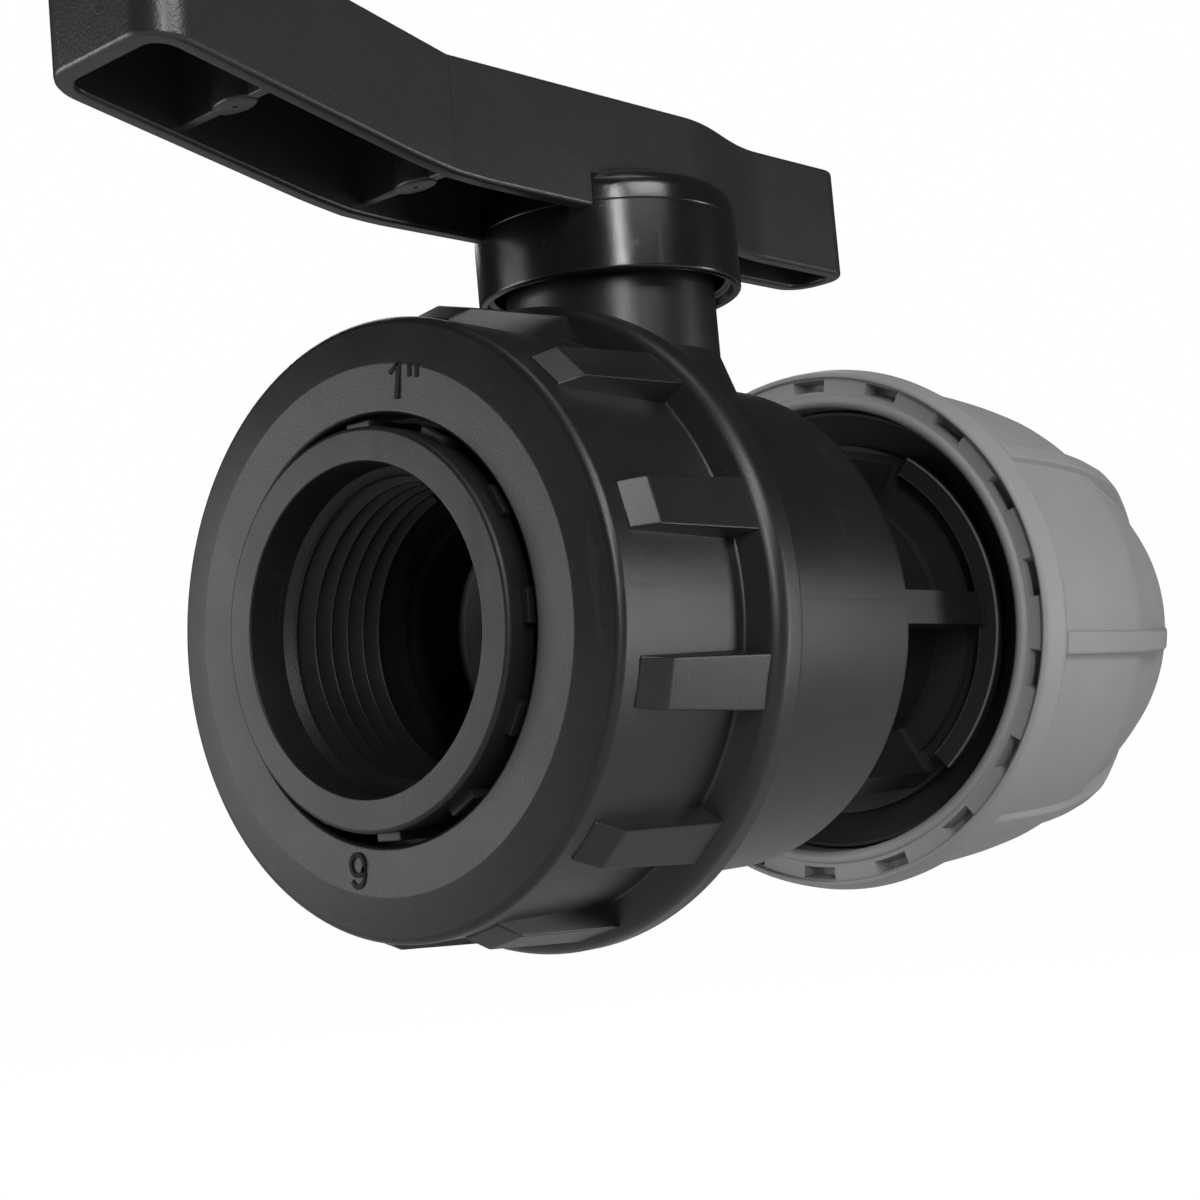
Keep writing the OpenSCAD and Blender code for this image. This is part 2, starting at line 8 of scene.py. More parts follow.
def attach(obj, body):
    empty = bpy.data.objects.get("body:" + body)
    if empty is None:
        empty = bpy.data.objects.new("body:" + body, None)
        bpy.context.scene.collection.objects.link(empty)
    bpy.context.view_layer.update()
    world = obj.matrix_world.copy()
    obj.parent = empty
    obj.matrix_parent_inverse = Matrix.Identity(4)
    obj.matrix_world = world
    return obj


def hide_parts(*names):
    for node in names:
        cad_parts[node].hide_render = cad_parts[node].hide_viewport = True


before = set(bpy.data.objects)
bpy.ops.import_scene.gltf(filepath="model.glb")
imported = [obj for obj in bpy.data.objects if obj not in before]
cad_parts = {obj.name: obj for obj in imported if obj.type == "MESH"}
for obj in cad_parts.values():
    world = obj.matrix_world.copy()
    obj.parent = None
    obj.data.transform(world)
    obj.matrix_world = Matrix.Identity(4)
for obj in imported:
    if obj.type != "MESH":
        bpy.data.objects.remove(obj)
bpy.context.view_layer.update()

# The shapes are drawn in millimetres in the part's own frame, and made metres as they are finished.
MM = 0.001
FULL_TURN = 2 * math.pi
CENTRE = Vector((0, 0, 0))
FLOW = Vector((1, 0, 0))
STEM = Vector((0, 0, 1))


# ---- shader maths ----

class Amount:
    """A number that varies over a surface. Sums on amounts add the Math nodes that do them."""

    def __init__(self, finish, socket):
        self.finish = finish
        self.socket = socket

    def sum(self, operation, first, second):
        return self.finish.node("ShaderNodeMath", {"operation": operation}, {0: first, 1: second})

    def __add__(self, other):
        return self.sum("ADD", self, other)

    def __radd__(self, other):
        return self.sum("ADD", other, self)

    def __sub__(self, other):
        return self.sum("SUBTRACT", self, other)

    def __rsub__(self, other):
        return self.sum("SUBTRACT", other, self)

    def __mul__(self, other):
        return self.sum("MULTIPLY", self, other)

    def __gt__(self, other):
        return self.sum("GREATER_THAN", self, other)

    def __lt__(self, other):
        return self.sum("LESS_THAN", self, other)

    def between(self, low, high):
        """1 where the amount lies between two measures in millimetres, and 0 elsewhere."""
        return (self > low * MM) * (self < high * MM)


class Nodes:
    """The nodes of a material or of the world."""

    def __init__(self, tree):
        self.tree = tree

    def node(self, kind, settings=None, values=None, output=0):
        """A node of one kind, with its settings made first and then its sockets' values or links."""
        made = self.tree.nodes.new(kind)
        for key, value in (settings or {}).items():
            if key == "stops":
                ramp = made.color_ramp
                while len(ramp.elements) < len(value):
                    ramp.elements.new(0.5)
                for stop, (place, grey) in zip(ramp.elements, value):
                    stop.position = place
                    stop.color = (grey, grey, grey, 1)
            else:
                setattr(made, key, value)
        for key, value in (values or {}).items():
            self.feed(made.inputs[key], value)
        return Amount(self, made.outputs[output])

    def feed(self, socket, value):
        if isinstance(value, Amount):
            self.tree.links.new(value.socket, socket)
        else:
            socket.default_value = value

    def rays(self, kind):
        """1 on the rays of one kind, such as the camera's, and 0 on the others."""
        return self.node("ShaderNodeLightPath", output="Is " + kind + " Ray")


class Finish(Nodes):
    """A material in the making."""

    def __init__(self, name):
        self.material = bpy.data.materials.new(name)
        self.material.use_nodes = True
        super().__init__(self.material.node_tree)
        self.surface = self.tree.nodes["Principled BSDF"]
        self.place = self.node("ShaderNodeTexCoord", output="Object")

    def set(self, **values):
        for key, value in values.items():
            self.feed(self.surface.inputs[key.replace("_", " ")], value)

    def along(self, axis):
        """The place along X, Y or Z, in metres."""
        return self.node("ShaderNodeSeparateXYZ", None, {"Vector": self.place}, output=axis)

    def from_axis(self, scale):
        """The distance from an axis, in metres, by a scale that takes out the place along it."""
        across = self.node("ShaderNodeMapping", None, {"Vector": self.place, "Scale": scale})
        return self.node("ShaderNodeVectorMath", {"operation": "LENGTH"}, {0: across}, output="Value")

    def from_flow(self):
        return self.from_axis((0, 1, 1))

    def from_stem(self):
        return self.from_axis((1, 1, 0))

    def grain(self, size, detail, stretch=(1, 1, 1)):
        """Noise from 0 to 1 whose blotches are about size millimetres across."""
        place = self.node("ShaderNodeMapping", None, {"Vector": self.place, "Scale": stretch})
        return self.node("ShaderNodeTexNoise", None,
                         {"Vector": place, "Scale": 1 / (size * MM), "Detail": detail})

    def ramp(self, amount, *stops):
        return self.node("ShaderNodeValToRGB", {"stops": stops}, {"Fac": amount})

    def blend(self, amount, first, second):
        """One colour where the amount is 0, the other where it is 1."""
        return self.node("ShaderNodeMix", {"data_type": "RGBA"},
                         {0: amount, 6: first, 7: second}, output=2)

    def bump(self, height, depth):
        """Bump from a height between 0 and 1 that stands for a depth in millimetres."""
        return self.node("ShaderNodeBump", None, {"Height": height, "Distance": depth * MM})


# Depth in millimetres of the bump of all finishes, and the grey of the highlight painted along edges
BUMP_DEPTH = 0.02
PAINTED_EDGE_GREY = 0.16


def grey(level):
    return (level, level, level * 1.02, 1)


def tinted(colour, factor, lift=0.0):
    """The colour made lighter or darker."""
    return tuple(factor * part + lift for part in colour[:3]) + (1,)


def moulded(name, colour, light, roughness, shine, dust=0.5, texture=1.0, wear=1.0,
            matt=None, line=None, edge_highlight=None, dull=None):
    """Moulded polypropylene: fine texture, soft flow marks, hairline scratches and a little dust.

    matt gives the share of a coarser, paler texture, line that of a thin dark line (the parting line on the
    body, and painted shade along the crease on the handle), and the pale-edge share after it that of a
    highlight painted along edges. dull gives the share that the mould left without shine.
    """
    finish = Finish(name)
    fine = finish.grain(0.16, 3)
    cloud = finish.grain(9, 3)
    specks = finish.ramp(finish.grain(0.5, 1), (0.73, 0), (0.77, 1)) * dust
    scratch_a = finish.ramp(finish.grain(2.2, 1, (0.05, 1, 1.3)), (0.71, 0), (0.73, 1))
    scratch_b = finish.ramp(finish.grain(2.6, 1, (1.2, 0.7, 0.06)), (0.72, 0), (0.74, 1))
    scratches = (scratch_a + scratch_b) * (0.3 * wear)
    shade = finish.blend(cloud, colour, light)
    worn = finish.blend((specks + scratches * 0.3) * 0.4, shade, tinted(light, 2.5, 0.03))
    rough = roughness - 0.07 + cloud * 0.1 + fine * 0.05 + scratches * 0.1
    relief = fine * (0.6 * texture) + specks * 0.5 - scratches * 0.4 + cloud * 0.4
    if matt:
        share = matt(finish)
        worn = finish.blend(share, worn, tinted(light, 1.5, 0.006))
        rough = rough + share * 0.13
        relief = relief + share * finish.grain(0.35, 3) * 1.6
    # A thin dark line: the real parting line on the body, and painted shade along the crease on the handle
    if line:
        share = line(finish)
        worn = finish.blend(share, worn, tinted(colour, 0.2))
        relief = relief - share * 6
    if dull:
        rough = rough + dull(finish) * 0.35
    # The pale edge is a painted highlight: edges lightened where the lamps would catch them
    if edge_highlight:
        worn = finish.blend(edge_highlight(finish) * (0.5 + cloud * 0.5), worn, grey(PAINTED_EDGE_GREY))
    finish.set(Base_Color=worn, IOR=1.49, Specular_IOR_Level=shine, Roughness=rough)
    finish.set(Normal=finish.bump(relief, BUMP_DEPTH))
    return finish.material


# ---- where on a piece its finish changes ----

def nut_flat_ring(finish):
    return (finish.from_flow() < 26.6 * MM) * (finish.along("X") < -42.2 * MM)


def body_parting(finish):
    """The mould's parting line along the barrel, and the barrel's rear edge."""
    parting = finish.along("Z").between(-0.11, 0.11)
    rear_edge = finish.along("X").between(11.45, 11.8) * 0.9
    return (parting + rear_edge) * (finish.from_flow() > 28 * MM)


def tail_recess(finish):
    return finish.along("X") > 38 * MM


def tail_edge_highlights(finish):
    """The outer and the inner edge of the tail's steps, which get a painted highlight."""
    radius = finish.from_flow()
    edges = radius.between(25.22, 25.42) + radius.between(22.85, 23.02)
    return edges * (finish.along("X") < 39.75 * MM)


def handle_arm(finish):
    """All of the handle but its hub."""
    return 1 - (finish.from_stem() < 15.65 * MM) * (finish.along("Z") < 50.3 * MM)


# A thin dark band across the arm at the bend: painted shade along the crease, with a dip in the bump
def painted_crease_shade(finish):
    return finish.along("X").between(-34.4, -34.2) * 0.3


# Name, darkest and lightest colour, roughness and shine
body_black = moulded("Body_black_plastic", grey(0.006), grey(0.010), 0.33, 0.45,
                     line=body_parting, dull=tail_recess)
# The tail's step edges get a highlight painted pale into their colour
tail_black = moulded("Tail_black_plastic", grey(0.006), grey(0.010), 0.33, 0.45,
                     edge_highlight=tail_edge_highlights, dull=tail_recess)
nut_black = moulded("Nut_black_plastic", grey(0.006), grey(0.010), 0.36, 0.45,
                    texture=1.4, matt=nut_flat_ring)
end_black = moulded("Threaded_end_plastic", grey(0.006), grey(0.011), 0.46, 0.36, texture=1.8)
# The handle's crease line is painted shade
handle_black = moulded("Handle_black_plastic", grey(0.005), grey(0.008), 0.2, 0.5, texture=0.9, wear=1.4,
                       matt=handle_arm, line=painted_crease_shade)
ball_black = moulded("Ball_plastic", grey(0.012), grey(0.016), 0.22, 0.45, dust=0.1, texture=0.3, wear=0.3)
nut_grey = moulded("Nut_grey_plastic", grey(0.22), grey(0.25), 0.5, 0.3, dust=0.1, texture=1.2, wear=0.15)
seat_white = moulded("White_ring_plastic", grey(0.7), grey(0.76), 0.45, 0.4, dust=0.0, texture=0.6, wear=0.2)
grip_white = moulded("Grip_white_plastic", grey(0.55), grey(0.6), 0.4, 0.4, dust=0.1, texture=0.8, wear=0.3)


def rubber():
    finish = Finish("Seal_rubber")
    cloud = finish.grain(4, 3)
    finish.set(Base_Color=finish.blend(cloud, grey(0.012), grey(0.02)), Roughness=0.55 + cloud * 0.15)
    finish.set(Normal=finish.bump(finish.grain(0.2, 2), BUMP_DEPTH))
    return finish.material


def steel():
    finish = Finish("Stainless_steel")
    lines = finish.grain(0.6, 2, (1, 1, 12))
    finish.set(Base_Color=finish.blend(lines, grey(0.55), grey(0.66)), Metallic=1.0,
               Roughness=0.25 + lines * 0.15)
    finish.set(Normal=finish.bump(lines, BUMP_DEPTH / 2))
    return finish.material


def ink():
    finish = Finish("Raised_numeral")
    cloud = finish.grain(0.5, 2)
    finish.set(Base_Color=finish.blend(cloud, grey(0.004), grey(0.007)), Specular_IOR_Level=0.2,
               Roughness=0.6 + cloud * 0.1)
    finish.set(Normal=finish.bump(cloud, BUMP_DEPTH))
    return finish.material


seal_black = rubber()
bright_steel = steel()
numeral_dark = ink()

node_finishes = {
    "valve_body": body_black, "ball": ball_black, "front_seat": seat_white, "rear_seat": seat_white,
    "front_cushion": seal_black, "rear_cushion": seal_black, "seat_carrier": end_black,
    "carrier_seal": seal_black, "thrust_washer": seat_white, "stem": ball_black,
    "stem_seals": seal_black, "handle": handle_black, "handle_washer": bright_steel,
    "handle_screw": bright_steel, "handle_cap": handle_black, "end_connector": end_black,
    "face_seal": seal_black, "union_nut": nut_black, "pipe_seal": seal_black,
    "pressure_bush": grip_white, "grip_ring": grip_white, "compression_nut": nut_grey,
}
for name, finish in node_finishes.items():
    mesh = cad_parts[name].data
    mesh.materials.clear()
    mesh.materials.append(finish)


# ---- ways of making a shape ----

def outline_edges(rows, to_point, segments=4):
    """A closed outline of edges from rows of two distances and, where it has one, a corner's round."""
    form = bmesh.new()
    rounds = {}
    corners = []
    for first, second, *size in rows:
        corner = form.verts.new(to_point(first, second))
        corners.append(corner)
        if size:
            rounds.setdefault(size[0], []).append(corner)
    form.faces.new(corners)
    for size, group in rounds.items():
        bmesh.ops.bevel(form, geom=group, offset=size, offset_type="OFFSET", segments=segments,
                        profile=0.5, affect="VERTICES", material=-1)
    return form


def turned(rows, steps=160, first_angle=0.0, axis=FLOW):
    """A closed form turned about the flow or the stem, from rows of radius, place along it, and round."""
    if axis is FLOW:
        form = outline_edges(rows, lambda radius, along: (along, -radius, 0))
    else:
        form = outline_edges(rows, lambda radius, along: (radius, 0, along))
    bmesh.ops.delete(form, geom=form.faces[:], context="FACES_ONLY")
    bmesh.ops.rotate(form, cent=CENTRE, matrix=Matrix.Rotation(first_angle, 3, axis), verts=form.verts[:])
    bmesh.ops.spin(form, geom=form.verts[:] + form.edges[:], cent=CENTRE, axis=axis,
                   angle=FULL_TURN, steps=steps, use_merge=True)
    bmesh.ops.recalc_face_normals(form, faces=form.faces[:])
    return form


def turned_part(rows, start, end, steps):
    """A part of a ring about the flow, between two angles in degrees from -Y downwards."""
    form = outline_edges(rows, lambda radius, along: (along, -radius, 0))
    bmesh.ops.rotate(form, cent=CENTRE, matrix=Matrix.Rotation(math.radians(start), 3, FLOW),
                     verts=form.verts[:])
    bmesh.ops.spin(form, geom=form.faces[:], cent=CENTRE, axis=FLOW,
                   angle=math.radians(end - start), steps=steps)
    bmesh.ops.recalc_face_normals(form, faces=form.faces[:])
    return form


def add_to(whole, part):
    """Puts a part's shell into the form it belongs to."""
    carrier = bpy.data.meshes.new("carrier")
    part.to_mesh(carrier)
    part.free()
    whole.from_mesh(carrier)
    bpy.data.meshes.remove(carrier)


def cut(form, tool):
    """Takes the tool's space out of the form."""
    holders = []
    for source in (form, tool):
        mesh = bpy.data.meshes.new("carrier")
        source.to_mesh(mesh)
        holders.append(bpy.data.objects.new("carrier", mesh))
        bpy.context.scene.collection.objects.link(holders[-1])
    hole = holders[0].modifiers.new("Hole", "BOOLEAN")
    hole.object = holders[1]
    hole.solver = "EXACT"
    left = holders[0].evaluated_get(bpy.context.evaluated_depsgraph_get())
    form.clear()
    form.from_mesh(left.to_mesh())
    tool.free()
    for holder in holders:
        bpy.data.objects.remove(holder)


def repeat_round(form, count):
    """Repeats everything in the form evenly round the flow."""
    bmesh.ops.spin(form, geom=form.verts[:] + form.edges[:] + form.faces[:], cent=CENTRE, axis=FLOW,
                   angle=FULL_TURN * (count - 1) / count, steps=count - 1, use_duplicate=True)


def corners_of(geometry):
    return [item for item in geometry if isinstance(item, bmesh.types.BMVert)]


def draw_up(form, height):
    """Draws the form's flat face up into a solid."""
    up = bmesh.ops.extrude_face_region(form, geom=form.faces[:])
    bmesh.ops.translate(form, vec=(0, 0, height), verts=corners_of(up["geom"]))


def sharp_edges(form, degrees):
    return [edge for edge in form.edges
            if len(edge.link_faces) == 2 and edge.calc_face_angle() > math.radians(degrees)]


def soften(form, edges, width, segments):
    bmesh.ops.bevel(form, geom=edges, offset=width, offset_type="OFFSET", segments=segments,
                    profile=0.5, affect="EDGES", clamp_overlap=True, material=-1)


def block(low, high, width):
    """A box between two corners, with its edges rounded."""
    form = bmesh.new()
    bmesh.ops.create_cube(form, size=1)
    size = Vector(high) - Vector(low)
    bmesh.ops.scale(form, vec=size, verts=form.verts[:])
    bmesh.ops.translate(form, vec=Vector(low) + size / 2, verts=form.verts[:])
    soften(form, form.edges[:], width, 2)
    return form


# The angle, in degrees, from which an edge is shown sharp
CREASE = 42


def finish_piece(form, name, body, finish, nodes=()):
    """Makes the form a piece that rides on its body and stands for its CAD nodes."""
    bmesh.ops.scale(form, vec=(MM, MM, MM), verts=form.verts[:])
    for face in form.faces:
        face.smooth = True
    for edge in sharp_edges(form, CREASE):
        edge.smooth = False
    mesh = bpy.data.meshes.new(name)
    form.to_mesh(mesh)
    form.free()
    mesh.materials.append(finish)
    piece = bpy.data.objects.new(name, mesh)
    bpy.context.scene.collection.objects.link(piece)
    even = piece.modifiers.new("Even_flats", "WEIGHTED_NORMAL")
    even.keep_sharp = True
    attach(piece, body)
    if nodes:
        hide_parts(*nodes)


# ---- union nut ----

NUT_FRONT = -42.4
BARREL = 31.5
RIM = 35.1
RIM_REAR = -17.7
LUGS_ROUND = 12
LUG_FRONT = -38.8
LUG_REAR = -20.6
LUG_FOOT = 30.4
LUG_TURN = math.radians(15)


def union_nut():
    nut = turned([
        (21.6, -37.7), (21.6, -42.2, 0.55), (26.6, NUT_FRONT, 0.1), (BARREL, -41.45, 0.85),
        (BARREL, -22.9, 0.3), (34.4, -21.7, 0.5), (RIM, -20.7, 0.6), (RIM, RIM_REAR, 0.5),
        (29.0, RIM_REAR, 0.3), (28.6, -18.3), (28.6, -32.5), (25.3, -32.5), (25.3, -37.7)])
    lugs = outline_edges([(LUG_FRONT, LUG_FOOT), (LUG_FRONT, 31.6), (-35.9, 33.1),
                          (LUG_REAR, 34.1), (LUG_REAR, LUG_FOOT)],
                         lambda along, radius: (along, -radius, -1))
    draw_up(lugs, 2)
    # Each lug grows a little wider towards the rim
    for corner in lugs.verts:
        corner.co.z *= 2.4 + 0.45 * (corner.co.x - LUG_FRONT) / (LUG_REAR - LUG_FRONT)
    bmesh.ops.recalc_face_normals(lugs, faces=lugs.faces[:])
    top = [edge for edge in lugs.edges if max(-v.co.y for v in edge.verts) > LUG_FOOT + 0.6]
    soften(lugs, top, 0.22, 2)
    bmesh.ops.rotate(lugs, cent=CENTRE, matrix=Matrix.Rotation(LUG_TURN, 3, FLOW), verts=lugs.verts[:])
    repeat_round(lugs, LUGS_ROUND)
    add_to(nut, lugs)
    finish_piece(nut, "Union_nut", "front_nut", nut_black, ["union_nut"])


union_nut()


# ---- threaded end ----

# The 1 inch parallel pipe thread: its pitch, and the radius over its roots and its crests
PITCH = 2.309
ROOT = 16.62
CREST = 15.15
THREAD_START = -41.2
THREAD_TURNS = 6.2
STEPS_A_TURN = 96
TABS_ROUND = 12


def threaded_end():
    end = turned([
        (16.75, -44.3, 0.2), (20.25, -44.3, 0.5), (20.25, -37.4, 0.3), (25, -37.4, 0.4), (25, -32.5, 0.2),
        (19.7, -32.5, 0.2), (19.7, -24.4, 0.3), (13.65, -24.4, 0.3), (13.65, -26.4), (ROOT, -26.4),
        (ROOT, -40.2), (16.75, -40.4)])
    ridge = outline_edges([(-1.08, ROOT + 0.3), (-1.02, ROOT), (-0.2, CREST + 0.12), (0, CREST, 0.1),
                           (0.2, CREST + 0.12), (1.02, ROOT), (1.08, ROOT + 0.3)],
                          lambda along, radius: (along, radius, 0))
    steps = int(THREAD_TURNS * STEPS_A_TURN)
    bmesh.ops.translate(ridge, vec=(THREAD_START, 0, 0), verts=ridge.verts[:])
    bmesh.ops.spin(ridge, geom=ridge.faces[:], cent=CENTRE, axis=FLOW, angle=FULL_TURN * THREAD_TURNS,
                   steps=steps, dvec=FLOW * (PITCH * THREAD_TURNS / steps))
    # The entry's cone cuts the first turn down
    for corner in ridge.verts:
        radius = math.hypot(corner.co.y, corner.co.z)
        entry = ROOT + 0.28 - 0.5 * max(0, corner.co.x - THREAD_START - 0.6)
        if radius < entry:
            corner.co.y *= entry / radius
            corner.co.z *= entry / radius
    bmesh.ops.recalc_face_normals(ridge, faces=ridge.faces[:])
    add_to(end, ridge)
    tabs = block((-42.4, -21.1, -1.7), (-37.0, -19.8, 1.7), 0.2)
    repeat_round(tabs, TABS_ROUND)
    add_to(end, tabs)
    finish_piece(end, "Threaded_end", "threaded_end", end_black, ["end_connector"])


threaded_end()


# ---- numerals on the nut's flat ring ----

STROKE = 0.44
RAISED = -42.5
SUNK = NUT_FRONT + 0.2
# Places on the ring, by their Y and Z
ONE_FOOT, ONE_TOP, FLAG_END = (-5.89, 22.37), (-6.6, 25.9), (-5.15, 25.1)
QUOTES = [((-7.85, 24.23), (-8.09, 25.55)), ((-8.85, 23.97), (-9.09, 25.3))]
NINE_LOOP, NINE_HOOK = (4.88, -23.25), (4.93, -24.2)
NINE_HALF_WIDTH = 1.18


def straight_stroke(low, high, width):
    """A stroke between two points of the ring, given by their Y and Z."""
    run = Vector((0, high[0] - low[0], high[1] - low[1]))
    stroke = block((RAISED, -width / 2, 0), (SUNK, width / 2, run.length), 0.04)
    bmesh.ops.rotate(stroke, cent=CENTRE, matrix=STEM.rotation_difference(run).to_matrix(),
                     verts=stroke.verts[:])
    bmesh.ops.translate(stroke, vec=(0, *low), verts=stroke.verts[:])
    return stroke


def round_stroke(centre, half_width, half_height, start, end):
    """A part of an oval, between two angles in degrees from -Y downwards."""
    inner = half_width - STROKE
    rows = [(inner, RAISED, 0.04), (half_width, RAISED, 0.04), (half_width, SUNK), (inner, SUNK)]
    stroke = turned_part(rows, start, end, 40)
    bmesh.ops.scale(stroke, vec=(1, 1, half_height / half_width), verts=stroke.verts[:])
    bmesh.ops.translate(stroke, vec=(0, *centre), verts=stroke.verts[:])
    return stroke


def numerals():
    """A one with inch marks above the port, and a nine below it."""
    signs = straight_stroke(ONE_FOOT, ONE_TOP, 0.55)
    add_to(signs, straight_stroke(FLAG_END, ONE_TOP, 0.45))
    for foot, top in QUOTES:
        add_to(signs, straight_stroke(foot, top, 0.5))
    add_to(signs, round_stroke(NINE_LOOP, NINE_HALF_WIDTH, 1.28, 0, 359.9))
    add_to(signs, round_stroke(NINE_HOOK, NINE_HALF_WIDTH, 1.52, -35, 150))
    finish_piece(signs, "Numerals", "front_nut", numeral_dark)


numerals()


# ---- handle ----

LONG_END = -71.5
SHORT_END = 47
BEND = -34.3
LONG_HALF = 9
SHORT_HALF = 4.9
WALL = 2
# Height at the bend, and what the long and the short arm rise by from there
UNDERSIDE = (45.8, 6.6, 2.0)
TOP_FACE = (58.8, 6.6, 3.7)
BEND_ROUND = 5
# The arm narrows between these places
WAIST_START = 6
WAIST_END = 27
CAP_RADIUS = 7.5
RIB_PLACES = (-56.0, -32.2)
RIB_HALF = 0.65
BOSS_RADIUS = 3
BOSS_BORE = 0.4
BOSS_FLATTENED = 0.55
BOSS_OFFSET = -0.8


def rise(x, height, along_long, along_short):
    if x < BEND:
        return height + along_long * (BEND - x) / (BEND - LONG_END)
    return height + along_short * (x - BEND) / (SHORT_END - BEND)


def lower_edge(x):
    """The bend is rounded underneath."""
    before, here, after = (rise(x + step, *UNDERSIDE) for step in (-BEND_ROUND, 0, BEND_ROUND))
    return (before + 2 * here + after) / 4


def upper_face(x):
    return rise(x, *TOP_FACE)


def s_curve(share):
    return share * share * (3 - 2 * share)


def shell():
    """The hollow arm, open underneath."""
    waist = [(x, LONG_HALF - (LONG_HALF - SHORT_HALF) * s_curve((x - WAIST_START) / (WAIST_END - WAIST_START)))
             for x in range(WAIST_START, WAIST_END + 1)]
    side = [(LONG_END, LONG_HALF, 4)] + waist + [(SHORT_END, SHORT_HALF, 4.2)]
    rows = side + [(row[0], -row[1], *row[2:]) for row in reversed(side)]
    form = outline_edges(rows, lambda x, y: (x, y, 0), 8)
    bmesh.ops.recalc_face_normals(form, faces=form.faces[:])
    draw_up(form, 10)
    for step in (-6, -4, -2, 0, 2, 4, 6):
        bmesh.ops.bisect_plane(form, geom=form.verts[:] + form.edges[:] + form.faces[:],
                               plane_co=(BEND + step, 0, 0), plane_no=(1, 0, 0))
    bmesh.ops.recalc_face_normals(form, faces=form.faces[:])
    mouth = [face for face in form.faces if face.calc_center_median().z < 0.1]
    bmesh.ops.inset_region(form, faces=mouth, thickness=WALL, use_even_offset=True)
    hollow = bmesh.ops.extrude_face_region(form, geom=mouth)
    inner = corners_of(hollow["geom"])
    bmesh.ops.delete(form, geom=mouth, context="FACES")
    for corner in form.verts:
        x = corner.co.x
        corner.co.z = upper_face(x) if corner.co.z > 5 else lower_edge(x)
    for corner in inner:
        corner.co.z = upper_face(corner.co.x) - WALL
    bmesh.ops.recalc_face_normals(form, faces=form.faces[:])
    edges = [edge for edge in sharp_edges(form, 40) if min(v.co.z for v in edge.verts) > 0]
    soften(form, edges, 0.5, 3)
    return form


def cross_rib(x):
    """A thin rib across the hollow, with a boss like a lens in its middle."""
    low = lower_edge(x) + 1.2
    high = upper_face(x) - WALL / 2
    rib = block((x - RIB_HALF, -LONG_HALF + 1, low), (x + RIB_HALF, LONG_HALF - 1, high), 0.25)
    foot = low - 0.1
    boss = turned([(BOSS_BORE, foot), (BOSS_RADIUS, foot, 0.4), (BOSS_RADIUS, high), (BOSS_BORE, high)],
                  48, 0, STEM)
    for corner in boss.verts:
        corner.co.x *= BOSS_FLATTENED
    bmesh.ops.translate(boss, vec=(x, BOSS_OFFSET, 0), verts=boss.verts[:])
    add_to(rib, boss)
    return rib


def handle():
    lever = shell()
    recess = turned([(0.1, 57), (CAP_RADIUS, 57), (CAP_RADIUS, 70), (0.1, 70)], 96, 0, STEM)
    cut(lever, recess)
    hub = turned([
        (5, 52.7), (9.6, 52.5, 0.8), (14.4, 50.7, 1.2), (15.35, 49.2, 0.6), (15.55, 47.2), (15.45, 47.05),
        (15.6, 46.9), (15.6, 39.1, 0.4), (14.7, 39.1, 0.2), (14.5, 40.2, 0.2), (13.7, 40.4, 0.2),
        (13.7, 46.4, 0.6), (5, 46.4)], 160, 0, STEM)
    add_to(lever, hub)
    tower = turned([(2.5, 46.4), (8.9, 46.4), (8.9, 58.7), (CAP_RADIUS, 58.7), (CAP_RADIUS, 56.2), (2.5, 56.2)],
                   96, 0, STEM)
    add_to(lever, tower)
    for x in RIB_PLACES:
        add_to(lever, cross_rib(x))
    finish_piece(lever, "Handle", "lever", handle_black, ["handle"])


handle()


# ---- compression nut ----

# Radius of the skin between the ribs, and of the ribs, at places along the flow
SKIN = [(41.5, 33.2), (54, 33.05), (60, 32.75), (66, 32.2), (70, 31.0), (74.5, 29.7), (80, 28.4),
        (86, 26.5), (92.3, 24.3)]
RIBS = [(41.5, 33.95), (54, 33.95), (60, 33.7), (66, 33.05), (70, 32.4), (74, 31.7), (76.5, 31.1),
        (80, 29.8), (86, 27.3), (90, 25.5), (92.3, 24.2)]
NUT_STEPS = 504
NUT_STEP = FULL_TURN / NUT_STEPS
FIRST_STEP = math.radians(-5)
RIBS_ROUND = 8
RIB_PITCH = FULL_TURN / RIBS_ROUND
RIB_TURN = FIRST_STEP + 20 * NUT_STEP
# Step by step from a rib's middle: the way across it, and the share of its height
RIB_STEPS = [0, 0.5, 0.9, 1.17, 1.36, 1.56, 1.85, 2.8]
RIB_SHARES = [1, 1, 1, 0.99, 0.88, 0.14, 0.02, 0]
RIB_EDGE = len(RIB_STEPS) - 1
# The steps are even again from here on
RIB_REACH = 12
RIBS_FRONT = 41.6
RIBS_REAR = 92
WINDOW_PITCH = 20
WINDOW_HALF = 4.3


def on_line(line, x):
    """The radius at a place, with the line's corners rounded."""
    total = 0
    for near in (x - 1, x, x + 1):
        near = min(max(near, line[0][0]), line[-1][0])
        for (x0, r0), (x1, r1) in zip(line, line[1:]):
            if x0 <= near <= x1:
                total += r0 + (r1 - r0) * (near - x0) / (x1 - x0)
                break
    return total / 3


